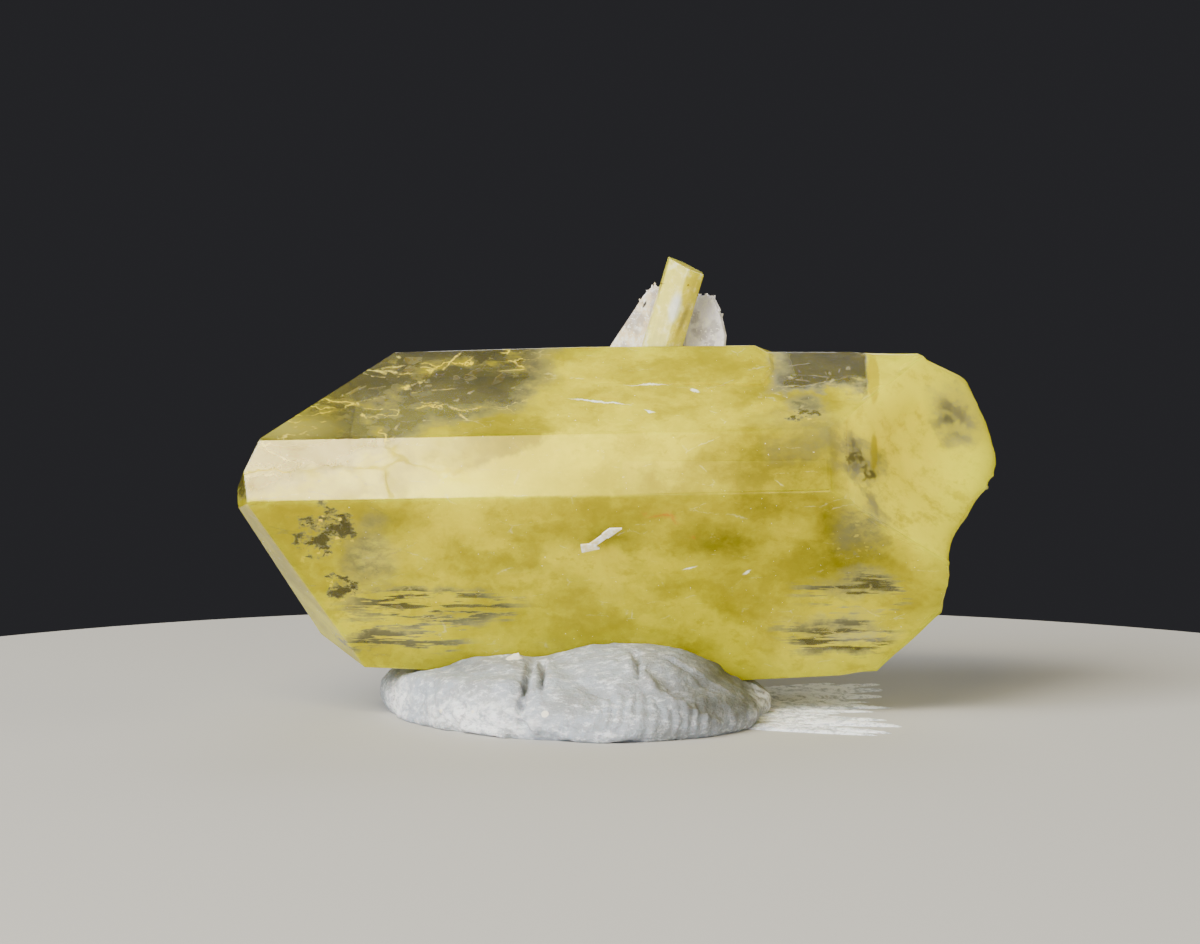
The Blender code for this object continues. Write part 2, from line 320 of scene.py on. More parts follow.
class PuttySettings(bpy.types.PropertyGroup):
    voxel: a_length("Voxel", "Size of the faces that carry the putty's creases", 0.13)
    smear_voxel: a_length("Smear voxel", "Size of the faces that carry the thin streaks", 0.075)
    gap: a_length("Gap", "Room between the putty and the crystal that is pressed into it", 0.03)
    colour: a_colour("Colour", "Colour of the putty", "#a6aebb")


def deselect():
    bpy.ops.object.select_all(action="DESELECT")


def pick(piece):
    """Makes a piece the only selected object, and the active one."""
    deselect()
    piece.select_set(True)
    bpy.context.view_layer.objects.active = piece


def edit(piece):
    pick(piece)
    bpy.ops.object.mode_set(mode="EDIT")


def leave_edit():
    bpy.ops.object.mode_set(mode="OBJECT")


def named(name):
    """Names the object that an operator has just added."""
    made = bpy.context.view_layer.objects.active
    made.name = name
    made.data.name = name
    return made


def primitive(name, add, **settings):
    deselect()
    add(**settings)
    return named(name)


def apply_place(piece):
    pick(piece)
    bpy.ops.object.transform_apply(location=True, rotation=True, scale=True)


def finish_with(piece, kind, **settings):
    """Adds a modifier and applies it."""
    pick(piece)
    made = piece.modifiers.new(kind.title(), kind)
    for key, value in settings.items():
        setattr(made, key, value)
    bpy.ops.object.modifier_apply(modifier=made.name)


def bevel_edges(piece, width, segments):
    finish_with(piece, "BEVEL", width=width, segments=segments, limit_method="NONE", use_clamp_overlap=False)


def roughen(piece, name, size, depth, **settings):
    """Pushes a surface in and out by clouds of this size in mm."""
    clouds = bpy.data.textures.new(name, "CLOUDS")
    clouds.noise_scale = size * MM
    clouds.noise_depth = depth
    finish_with(piece, "DISPLACE", texture=clouds, texture_coords="LOCAL", **settings)


def copy_of_node(node, name):
    """A merged copy of a solid, with whole flat faces."""
    piece = bpy.data.objects.new(name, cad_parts[node].data.copy())
    bpy.context.scene.collection.objects.link(piece)
    piece.data.materials.clear()
    edit(piece)
    bpy.ops.mesh.select_all(action="SELECT")
    bpy.ops.mesh.remove_doubles(threshold=WELD)
    bpy.ops.mesh.dissolve_limited(angle_limit=FLAT)
    leave_edit()
    return piece


def select_faces(piece, test):
    """In edit mode, selects the faces of a piece that pass a test."""
    bpy.ops.mesh.select_mode(type="FACE")
    bpy.ops.mesh.select_all(action="DESELECT")
    bm = bmesh.from_edit_mesh(piece.data)
    for face in bm.faces:
        if test(face):
            face.select_set(True)
    bm.select_flush_mode()
    bmesh.update_edit_mesh(piece.data)


def weigh(piece, name, weight):
    """Makes a vertex group, with each vertex's weight worked out from its place."""
    group = piece.vertex_groups.new(name=name)
    for vertex in piece.data.vertices:
        value = weight(vertex.co)
        if value > 0:
            group.add([vertex.index], min(value, 1.0), "REPLACE")
    return group.name


def is_socket(value):
    return isinstance(value, bpy.types.NodeSocket)


def fill(node, inputs):
    """Sets a node's inputs. A value is a number, a vector or another node's socket."""
    for key, value in inputs.items():
        if is_socket(value):
            node.id_data.links.new(value, node.inputs[key])
        else:
            node.inputs[key].default_value = value


def add_node(kind, settings=None, inputs=None, tree=None):
    """Adds a node of a kind such as Math, beside the nodes that it reads unless a tree is given."""
    tree = tree or next(value.id_data for value in inputs.values() if is_socket(value))
    node = tree.nodes.new("ShaderNode" + kind)
    for key, value in (settings or {}).items():
        setattr(node, key, value)
    fill(node, inputs or {})
    return node


def new_material(name):
    """A material, its Principled shader, and the coordinates that its patterns read."""
    made = bpy.data.materials.new(name)
    made.use_nodes = True
    coords = add_node("TexCoord", tree=made.node_tree).outputs["Object"]
    return made, made.node_tree.nodes["Principled BSDF"], coords


def math_node(operation, *values):
    """Works out an operation on two values, and then on the result and each further value."""
    total = values[0]
    for value in values[1:]:
        total = add_node("Math", {"operation": operation}, {0: total, 1: value}).outputs[0]
    return total


def times(*values):
    return math_node("MULTIPLY", *values)


def most(*values):
    return math_node("MAXIMUM", *values)


def less(value, start=1.0):
    return math_node("SUBTRACT", start, value)


def remap(value, low, high, to_low=0.0, to_high=1.0):
    """A value read between two limits and eased to two others."""
    node = add_node("MapRange", {"interpolation_type": "SMOOTHSTEP"},
                    {"Value": value, "From Min": low, "From Max": high, "To Min": to_low, "To Max": to_high})
    return node.outputs["Result"]


def axes(coords):
    return add_node("SeparateXYZ", None, {0: coords}).outputs


def placed(coords, scale=(1.0, 1.0, 1.0), turn=(0.0, 0.0, 0.0)):
    """Coordinates scaled and turned, the turn in radians."""
    return add_node("Mapping", None, {"Vector": coords, "Scale": scale, "Rotation": turn}).outputs[0]


def grain(coords, size, detail=4.0, rough=0.6, stretch=(1.0, 1.0, 1.0), output="Fac"):
    """Noise whose blotches are about this many mm across, stretched along the axes."""
    return add_node("TexNoise", None, {
        "Vector": placed(coords, [1.0 / s for s in stretch]), "Scale": 1.0 / (size * MM),
        "Detail": detail, "Roughness": rough}).outputs[output]


def cells(coords, size, output="Distance", **settings):
    """Cells about this many mm across."""
    return add_node("TexVoronoi", settings, {"Vector": coords, "Scale": 1.0 / (size * MM)}).outputs[output]


def warped(coords, size, reach):
    """Coordinates pushed about by noise, so that a pattern's outline is uneven."""
    noise = grain(coords, size, 5.0, 0.6, output="Color")
    offset = add_node("VectorMath", {"operation": "MULTIPLY_ADD"},
                      {0: noise, 1: [2 * reach * MM] * 3, 2: [-reach * MM] * 3}).outputs[0]
    return add_node("VectorMath", {"operation": "ADD"}, {0: coords, 1: offset}).outputs[0]


def layered(body, *layers):
    """Colours laid over a first one. Each layer is how much of it shows, and its colour."""
    for factor, colour in layers:
        body = add_node("Mix", {"data_type": "RGBA"},
                        {"Factor": factor, 6: rgba(body), 7: rgba(colour)}).outputs[2]
    return body


def zone(coords, middle, half, edge=0.5, turn=(0.0, 0.0, 0.0)):
    """How far a point is inside an ellipsoid, from 0 outside to 1. Middle and half sizes in mm."""
    place = add_node("Mapping", {"vector_type": "TEXTURE"}, {
        "Vector": coords, "Location": Vector(middle) * MM, "Rotation": [math.radians(a) for a in turn],
        "Scale": Vector(half) * MM})
    ball = add_node("TexGradient", {"gradient_type": "SPHERICAL"}, {"Vector": place.outputs[0]})
    return remap(ball.outputs["Fac"], 0.0, edge)


def zones(coords, table):
    """The union of several zones."""
    return most(*[zone(coords, *row) for row in table])


def absorb(made, code, density):
    """Makes a material take up light on its way through."""
    tree = made.node_tree
    node = add_node("VolumeAbsorption", None, {"Color": rgba(code), "Density": density}, tree)
    fill(tree.nodes["Material Output"], {"Volume": node.outputs[0]})


# Places in the large crystal: middle and half sizes in mm, how soft the edge is, and turn in degrees.
# Pits and windows with crisp chips of clear and cloudy crystal.
CLEAR_ZONES = (
    ((-14.5, -6.5, 9.7), (2.2, 3, 2.4), 0.8),
    ((-13.6, -6, 7), (1.8, 3, 1.8), 0.9),
    ((-15.4, -6.8, 12.4), (2.6, 2, 1.6), 1.6),
    ((11.8, -5.2, 12.9), (2.1, 2.4, 2), 0.9),
    ((9, -4.5, 15.3), (1.8, 1.6, 0.9), 0.9),
    ((11.4, -5, 9.6), (2.6, 2.6, 2.6), 1.4),
    ((-6.4, -3.4, 14.6), (3.6, 2, 0.9), 1.4),
    ((2.6, -5.6, 12.2), (3, 2, 1.6), 2.2),
)
# Patches where the cloudy crystal thins out softly.
SOFT_ZONES = (
    ((16.7, -1.4, 15), (1.9, 4, 2.6), 1),
    ((11.9, -5.2, 13.1), (2.3, 2.4, 1.6), 0.8),
    ((11.9, -5.8, 10.2), (2, 2.4, 2.4), 1.3),
    ((11.5, -5, 6.9), (2.6, 2.4, 1.3), 0.9),
    ((11, -4.1, 4.6), (3.2, 2.4, 1), 0.9),
    ((9.2, -3.8, 15.4), (1.5, 2, 1), 0.9),
    ((-12.2, -6, 9), (2, 2, 3.4), 1),
    ((8.6, -5, 13.6), (3.4, 2, 2.4), 1.4),
)
# Deeper patches in the cloudy crystal.
OLIVE_ZONES = (
    ((7.6, -6.2, 12.9), (5.6, 3.6, 4), 0.8),
    ((11.2, -5.4, 10), (3.8, 3.6, 5.6), 0.8),
    ((5.4, -6, 9.2), (4.2, 3, 2.2), 1.2),
    ((-0.6, -6, 9.6), (2.4, 3, 1.4), 1.2),
    ((-11, -5.5, 10.6), (2.4, 3, 1.8), 1.2),
    ((8.6, -3.6, 16.4), (3.4, 3, 1.6), 1.2),
)
# Where clear streaks run along the crystal.
STREAK_ZONES = (
    ((-9.2, -4.9, 5.7), (5.6, 2, 1.5), 0.6),
    ((-11, -4.2, 4), (4.4, 2, 1), 0.6),
    ((11.6, -4.4, 6.5), (3.6, 2, 1.5), 0.6),
    ((11, -3.5, 4.2), (4, 2, 1.3), 0.6),
)
# The strongest yellow.
GOLDEN_ZONES = (
    ((11.4, -4.1, 5.5), (2.4, 1, 0.35), 0.3),
    ((12.3, -3.4, 4.1), (2.6, 1, 0.35), 0.3),
    ((-16, -5, 14.6), (3.6, 3, 1.2), 0.9),
    ((-9, -4, 4.6), (6.4, 2.5, 2), 1.4),
    ((11.6, -4, 5), (3.8, 2, 1.8), 2),
)

# Upright golden cracks beside the window.
GOLDEN_STRIPS = (
    ((12.50, -1.8, 16.9), (0.34, 2.5, 1.7), 0.3),
    ((12.45, -4.8, 13.4), (0.24, 2.4, 1.2), 0.4),
)

# Veils and slivers inside the crystal: their number, middle and spread in mm, the least and most half length
# in mm, and how they lie, as degrees above the crystal's length and the spread of that.
VEILS = (
    (9, (-9.9, -1.5, 16.2), (0.5, 0.4, 0.55), (0.15, 0.50), (50, 60)),
    (22, (-8.4, -0.9, 16.7), (4.2, 0.9, 0.7), (0.35, 1.10), (18, 30)),
    (8, (-12.6, -2, 15.9), (1.6, 0.8, 0.8), (0.25, 0.80), (30, 25)),
    (26, (-14.2, -5.4, 9.6), (1.2, 0.6, 1.4), (0.06, 0.22), (40, 90)),
    (20, (-10.8, -3.4, 5.1), (3, 0.6, 1), (0.10, 0.45), (0, 8)),
    (20, (11, -2.9, 5.1), (2.6, 0.6, 1), (0.10, 0.45), (0, 10)),
    (12, (10.2, -0.8, 16.4), (1.6, 0.6, 0.6), (0.10, 0.40), (60, 60)),
    (14, (12, -3.6, 12.8), (1.6, 0.6, 1.8), (0.06, 0.25), (60, 90)),
)
VEIL_DEPTH = 0.25 * MM  # how far under the crystal's faces they stay
VEIL_SHAPE = (0.22, 0.05)  # width and thickness as a share of the half length
VEIL_ROLL = 35  # how far they may roll and swing, in degrees
VEIL_YAW = 12
SHARD_CUTS = 4  # planes that shape the ends of a sliver
# The white cleavage flake on the lower front face: its tail end and root in mm, and its widest half width.
FLAKE = (Vector((0.40, -6.62, 10.40)), Vector((-2.05, -5.80, 8.60)), 0.44)
FLAKE_PARTS = ((0.0, 1.0, 0.30), (-0.55, 0.42, 1.0), (0.25, 0.6, 0.42))  # shift, length and width as shares
FLAKE_THICKNESS = 0.20 * MM
FLAKE_LIFT = 0.04 * MM  # how far its middle stands out of the face
# Iron stains.
STAINS = (
    ((1.95, -6.6, 10.42), (0.85, 1, 0.26), 1.2, (0, 8, 0)),
    ((3.35, -6.2, 9.5), (0.5, 1, 0.26), 1.2),
    ((1.3, -6.5, 10.75), (0.3, 1, 0.16), 1.2),
)
# Painted glints: bright thin lines painted on the faces.
GLINT_LINES = (
    ((-1.05, -3.6, 15.78), (1.9, 1, 0.05), 0.6, (0, 5, 0)),
    ((1.45, -4.3, 15.37), (0.36, 1, 0.06), 0.6, (0, 14, 0)),
    ((1.3, -1.9, 16.50), (1.6, 1, 0.06), 0.6, (0, -1, 0)),
    ((3.68, -2.8, 16.25), (0.26, 1, 0.09), 0.6, (0, 12, 0)),
    ((6.2, -4.9, 7.55), (0.32, 1, 0.10), 0.6, (0, -30, 0)),
    ((3.4, -5.1, 7.80), (0.5, 1, 0.07), 0.6, (0, -12, 0)),
)


def brazilianite(settings):
    """Brazilianite, a glassy phosphate: clear olive yellow at the point and in windows, milky with fine veils
    in the middle. The eye gets sharp window-like reflections over a soft inner glow."""
    made, shader, coords = new_material("brazilianite")
    bent = warped(coords, 2.2, 1.5)
    crisp = warped(coords, 0.5, 0.16)
    along, exact = axes(bent), axes(crisp)
    broken = add_node("Attribute", {"attribute_name": "broken"}, tree=made.node_tree).outputs["Fac"]
    whole = less(broken)

    def between(axis, low, high, source=along):
        return remap(source[axis], low * MM, high * MM)

    # Where the crystal is clear: the point's upper face, the windows, the pits and the long streaks.
    clouds = grain(bent, 4.2, 6.0, 0.6, (1.5, 1.0, 1.0))
    fine = grain(crisp, 0.9, 6.0, 0.7, (1.5, 1.0, 1.0))
    leaning = less(times(math_node("ADD", along["X"], 5 * MM), 0.33), along["Z"])
    upper = times(remap(leaning, 15.4 * MM, 16.5 * MM), between("X", -2.8, -5.2))
    window = times(between("Z", 15.9, 16.6), between("X", 7.0, 8.6), between("X", 12.3, 12.1, exact))
    layers = grain(coords, 0.36, 5.0, 0.65, (8.0, 1.6, 0.8))
    streaks = times(zones(bent, STREAK_ZONES), remap(layers, 0.49, 0.55))
    tiles = axes(cells(placed(crisp, (0.8, 1.0, 1.2)), 0.15, "Color", feature="F1", distance="CHEBYCHEV"))
    pits = zones(bent, CLEAR_ZONES)
    chips = less(times(tiles["X"], 0.30), pits)
    chips = remap(less(remap(fine, 0.42, 0.66, 0.75, 0.0), chips), 0.0, 0.5)
    soft = times(zones(bent, SOFT_ZONES), remap(fine, 0.36, 0.60, 0.9, 0.35))
    clear = most(upper, window, streaks, chips, soft)
    misty = times(between("Z", 13.2, 14.8), between("X", -2.5, -6.5))

    # Golden strands: the edges of stretched cells, broken up by noise, in the clear parts.
    edges, second = [
        cells(placed(warped(coords, *warp), stretch, (0.0, turn, 0.0)), size, feature="DISTANCE_TO_EDGE")
        for warp, stretch, turn, size in (((1.2, 0.24), (0.4, 1.0, 1.1), 0.35, 1.5),
                                          ((1.8, 0.9), (0.3, 1.0, 0.9), -0.5, 2.6))]
    lines = most(times(remap(edges, 0.003, 0.028, 1.0, 0.0), remap(fine, 0.46, 0.58)),
                 times(remap(second, 0.001, 0.016, 1.0, 0.0), remap(fine, 0.38, 0.52)))
    few = less(times(window, 0.4))
    haze = times(remap(second, 0.0, 0.22, 1.0, 0.0), remap(fine, 0.42, 0.66), upper, few)
    gaps = remap(grain(coords, 1.5, 3.0, 0.5), 0.43, 0.52, 0.1, 1.0)
    strands = times(lines, most(upper, window, times(streaks, 0.6)), few, gaps)
    clots = times(pits, remap(tiles["Y"], 0.97, 0.98))
    strands = most(strands, times(clots, remap(pits, 0.05, 0.3)))
    threads = times(remap(edges, 0.0, 0.02, 1.0, 0.0), remap(fine, 0.52, 0.66, 0.0, 0.5))
    # Painted glints: fine bright specks away from the broken end, and the bright thin lines.
    painted_sparkles = times(remap(grain(coords, 0.13, 2.0, 0.5), 0.75, 0.78), whole)
    marks = most(zones(crisp, GLINT_LINES), painted_sparkles)

    # Painted light: the band face is painted a lighter yellow for the light it catches; it also lets less
    # light through.
    band = times(between("Z", 11.4, 11.6, exact), remap(leaning, 14.0 * MM, 13.4 * MM),
                 between("X", 3.0, -5.0))
    golden = zones(crisp, GOLDEN_ZONES)
    body = layered(
        settings.deep_colour,
        (remap(clouds, 0.30, 0.68), settings.milk_colour),
        (remap(fine, 0.46, 0.34, 0.0, 0.55), settings.deep_colour),
        (remap(fine, 0.52, 0.75, 0.0, 0.40), settings.pale_colour),
        (times(zones(bent, OLIVE_ZONES), remap(fine, 0.62, 0.40, 0.75, 1.0)), settings.olive_colour),
        (times(band, 0.5), "#fff42c"),
        (golden, settings.golden_colour),
        (times(misty, 0.7), settings.deep_colour),
        (clear, settings.clear_colour),
        (times(most(chips, streaks), 0.75), settings.pit_colour),
        (times(upper, between("Z", 15.9, 16.9), 0.7), "#83816c"),
        (times(upper, between("X", -11.5, -14.5), 0.8), "#b0a81c"),
        (times(window, 0.7), "#bcbaa6"),
        (haze, settings.deep_colour),
        (strands, "#e6d222"),
        (threads, "#f8f0b0"),
        (times(between("X", -9.0, -13.0), gaps, remap(edges, 0.0, 0.03, 0.5, 0.0), remap(fine, 0.44, 0.56)),
         "#8f8850"),
        # The broken end is painted milkier: partly for its rough fracture, partly as painted light where the
        # lamps reach it little.
        (times(broken, remap(fine, 0.35, 0.55, 0.2, 0.9), less(soft)), settings.milk_colour),
        (times(soft, broken), settings.pit_colour),
        (times(zones(crisp, GOLDEN_STRIPS), 0.9), "#c6b800"),
        (times(zones(bent, STAINS), remap(fine, 0.40, 0.55)), "#f0920a"),
        (marks, "#fdf6dc"))

    see = remap(clouds, 0.35, 0.65, settings.milk_see + 0.18, settings.milk_see)
    see = times(math_node("ADD", see, times(misty, 0.22)), less(times(band, 0.6)), less(times(broken, 0.6)))
    see = add_node("Mix", None, {"Factor": clear, "A": see, "B": settings.clear_see})
    solid = most(strands, marks, times(golden, 0.5), times(haze, 0.4))
    gloss = remap(clear, 0.0, 1.0, 0.16, 0.03)
    # The point is freshest, so it mirrors most, through a skin that is mottled with fine growth marks.
    mirror = times(remap(exact["X"], -14.0 * MM, -4.0 * MM, 1.0, 0.08), between("Z", 11.3, 11.5, exact))
    skin = times(remap(fine, 0.36, 0.56, 0.5, 1.0), remap(clouds, 0.40, 0.55, 0.8, 1.0),
                 remap(second, 0.0, 0.028, 0.1, 1.0))
    fill(shader, {
        "Base Color": body,
        "Transmission Weight": times(see.outputs[0], less(solid)),
        "Roughness": most(gloss, times(broken, 0.36)),
        "Coat Weight": times(whole, most(mirror, 0.05), skin),
        "Coat Roughness": 0.06,
        "Coat IOR": 1.6,
        "Subsurface Weight": 1.0,
        "Subsurface Radius": (1.0, 0.9, 0.3),
        "Subsurface Scale": settings.glow_depth,
        "IOR": BRAZILIANITE_IOR,
        "Specular Tint": rgba("#f4e89c"),
        "Specular IOR Level": 0.32})
    absorb(made, "#eef060", 140.0)
    return made


def cleavage(name, low, high):
    """Brazilianite split along its cleavage: slivers that catch the light, golden deep inside the crystal and
    white at its surface."""
    made, shader, coords = new_material(name)
    body = layered(low, (remap(grain(coords, 0.3), 0.40, 0.62), high))
    fill(shader, {"Base Color": body, "Roughness": 0.25, "IOR": BRAZILIANITE_IOR})
    return made


def pale_brazilianite():
    """The same mineral in a small clean crystal, so it is paler and clearer."""
    made, shader, coords = new_material("pale brazilianite")
    lean = placed(coords, turn=(0.0, math.radians(-14), 0.0))
    stripes = grain(lean, 0.22, 4.0, 0.6, (1.0, 1.0, 9.0))
    fine = grain(coords, 0.5, 5.0, 0.65)
    # Painted highlight: a pale streak down the front face; painted shade: the olive band beside it.
    painted_highlight = zone(coords, (2.75, 1.4, 20.0), (0.42, 3.0, 1.0), 0.6, (0.0, 14.0, 0.0))
    shade = zone(coords, (3.15, 1.4, 19.4), (0.20, 3.0, 1.2), 0.8, (0.0, 22.0, 0.0))
    crack = zones(warped(coords, 0.3, 0.06), (
        ((2.05, 1.4, 21.16), (0.26, 3, 0.035), 0.6, (0, -8, 0)),
        ((3.40, 1.4, 21.12), (0.07, 3, 0.07), 0.6)))
    body = layered(
        "#f0e262",
        (remap(axes(coords)["Z"], 19.2 * MM, 21.4 * MM), "#ecdd42"),
        (remap(fine, 0.50, 0.68, 0.0, 0.6), "#fbf5c4"),
        (remap(stripes, 0.48, 0.66, 0.0, 0.35), "#c9c060"),
        (painted_highlight, "#fffbd6"),
        (times(shade, 0.8), "#a9a35a"),
        (crack, "#8a7f30"))
    fill(shader, {
        "Base Color": body,
        "Transmission Weight": remap(fine, 0.4, 0.62, 0.16, 0.0),
        "Roughness": 0.22,
        "Subsurface Weight": 1.0,
        "Subsurface Radius": (1.0, 0.9, 0.5),
        "Subsurface Scale": 2.0 * MM,
        "IOR": BRAZILIANITE_IOR})
    absorb(made, "#f3ea9a", 120.0)
    return made


def bumps(height, strength, reach):
    return add_node("Bump", None,
                    {"Height": height, "Strength": strength, "Distance": reach * MM}).outputs[0]


def muscovite(name, tint):
    """Mica: glassy sheets that split apart. The eye gets silky flat sides with darker patches, white specks
    painted as glints, painted shade in a dark slit, and white split edges."""
    made, shader, coords = new_material(name)
    fine = grain(coords, 0.35, 5.0, 0.7, (0.8, 1.0, 1.4))
    # Painted shade: a dark slit where the sheets part.
    painted_slit_shade = zone(warped(coords, 0.3, 0.05), (1.24, 3.3, 20.0), (0.08, 1.5, 0.24), 0.5, (0, 30, 0))
    body = layered(
        tint,
        (remap(fine, 0.42, 0.62), "#fbfaf8"),
        (remap(grain(coords, 1.0, 3.0, 0.5), 0.52, 0.62, 0.0, 0.6), "#9c96a2"),
        # Painted glints: white specks.
        (remap(grain(coords, 0.12, 2.0, 0.5), 0.62, 0.66), "#ffffff"),
        (painted_slit_shade, "#4a4644"))
    fill(shader, {
        "Base Color": body,
        "Roughness": remap(fine, 0.4, 0.65, 0.12, 0.35),
        "Subsurface Weight": 0.3,
        "Subsurface Radius": (1.0, 1.0, 1.0),
        "Subsurface Scale": 0.3 * MM,
        "IOR": MICA_IOR,
        "Normal": bumps(fine, 0.4, 0.08)})
    return made


def putty_clay(settings):
    """Mineral putty: matt, slightly greasy grey-white clay that keeps finger marks. The eye gets soft grey
    shading with whiter pressed skin and fine grit; painted light whitens its left end and lower front, and
    painted shade darkens its creases and its right side, where the crystal shadows it."""
    made, shader, coords = new_material("putty clay")
    blotch = grain(coords, 2.4, 6.0, 0.65, (1.3, 1.0, 1.0))
    skin = grain(coords, 0.40, 6.0, 0.75, (1.7, 1.0, 0.8))
    speck = grain(coords, 0.14, 3.0, 0.6)
    place = axes(coords)
    # Painted shadow: the putty's right side, up under the crystal, is darkened for the crystal's shadow.
    painted_crystal_shadow = times(remap(place["X"], 0.0, 5.0 * MM), remap(place["Z"], 0.0, 1.4 * MM),
                    remap(blotch, 0.3, 0.6, 0.7, 1.0))
    # Painted shade: the creases and the slope above the left bend are darkened.
    painted_crease_shade = times(zones(warped(coords, 0.6, 0.2), CREASE_SHADE), 0.7)
    # The smear's whiter skin, and painted light on the putty's left end and lower left front.
    smear_and_painted_light = most(remap(place["X"], 6.0 * MM, 8.0 * MM), zones(coords, PAINTED_LIGHT_ZONES))
    crumbs = zones(coords, [(middle, [radius * 1.6] * 3, 0.2) for middle, radius in CRUMBS])
    body = layered(
        settings.colour,
        (remap(blotch, 0.40, 0.62), "#969a9e"),
        (remap(skin, 0.50, 0.64, 0.0, 0.8), "#e8ecf2"),
        (remap(speck, 0.40, 0.30, 0.0, 0.5), "#8c8f92"),
        (most(painted_crystal_shadow, painted_crease_shade), "#4c4e48"),
        (times(smear_and_painted_light, remap(skin, 0.40, 0.54, 0.2, 1.0)), "#fafcff"),
        (crumbs, "#f6f2e2"))
    grit = math_node("ADD", times(skin, 0.6), times(speck, 0.4))
    fill(shader, {
        "Base Color": body,
        "Roughness": remap(skin, 0.35, 0.7, 0.62, 0.42),
        "Subsurface Weight": 0.12,
        "Subsurface Scale": 0.4 * MM,
        "Normal": bumps(grit, 1.0, 0.2)})
    return made


def softbox(name, heading, tilt, distance, width, height, radiance, colour):
    """A rectangular soft light at a heading and tilt from the crystal."""
    data = bpy.data.lights.new(name, "AREA")
    data.shape = "RECTANGLE"
    data.size = width
    data.size_y = height
    data.energy = radiance * math.pi * width * height
    data.color = linear(colour)
    made = bpy.data.objects.new(name, data)
    bpy.context.scene.collection.objects.link(made)
    made.location = CRYSTAL_MIDDLE + direction(heading, tilt) * distance
    made.rotation_euler = (CRYSTAL_MIDDLE - made.location).to_track_quat("-Z", "Y").to_euler()


class CLUSTER_OT_stage(bpy.types.Operator):
    """Lays the floor and sets the lights and the camera"""
    bl_idname = "cluster.stage"
    bl_label = "Floor, lights and camera"

    def execute(self, context):
        settings = context.scene.cluster_stage
        middle = Vector(settings.floor_middle) - Vector((0.0, 0.0, FLOOR_THICKNESS / 2))
        floor = primitive("floor", bpy.ops.mesh.primitive_cylinder_add, vertices=128,
                          radius=settings.floor_radius, depth=FLOOR_THICKNESS, location=middle)
        apply_place(floor)
        made, shader, _ = new_material("floor")
        fill(shader, {"Base Color": rgba(settings.floor_colour), "Roughness": 0.75})
        floor.data.materials.append(made)

        world = context.scene.world or bpy.data.worlds.new("room")
        context.scene.world = world
        world.use_nodes = True
        world.node_tree.nodes["Background"].inputs["Color"].default_value = rgba(settings.room_colour)
        for name, heading, tilt, distance, width, height, colour in LIGHTS:
            radiance = getattr(settings, name + "_light")
            softbox(name, heading, tilt, distance, width, height, radiance, colour)

        data = bpy.data.cameras.new("camera")
        data.lens = settings.camera_lens
        camera = bpy.data.objects.new("camera", data)
        context.scene.collection.objects.link(camera)
        camera.location = settings.camera_place
        camera.rotation_euler = (math.pi / 2 - settings.camera_pitch, 0.0, 0.0)
        context.scene.camera = camera
        return {"FINISHED"}


def to_nearest(point, faces):
    """How far a point lies inside the nearest of some faces, in metres."""
    return min(direction(h, t).dot(CRYSTAL_MIDDLE - point) + d * MM for h, t, d in faces)


def trim(place, normal):
    """In edit mode, cuts away what lies past a plane and closes the cut."""
    bpy.ops.mesh.select_all(action="SELECT")
    bpy.ops.mesh.bisect(plane_co=place, plane_no=normal, use_fill=True, clear_outer=True, threshold=MERGE)


def cut_block(name, faces, grow=0.0, inward=False):
    """A solid with flat faces: a cube, bisected along each face in turn. With inward, it lies past them."""
    piece = primitive(name, bpy.ops.mesh.primitive_cube_add, size=BLOCK, location=CRYSTAL_MIDDLE)
    apply_place(piece)
    edit(piece)
    for heading, tilt, distance in faces:
        normal = direction(heading, tilt)
        trim(CRYSTAL_MIDDLE + normal * (distance * MM + grow), -normal if inward else normal)
    leave_edit()
    return piece


def combine(piece, other, operation):
    """Joins another solid to a piece, or cuts it from the piece, and removes it."""
    finish_with(piece, "BOOLEAN", operation=operation, object=other, solver="EXACT")
    bpy.data.objects.remove(other)


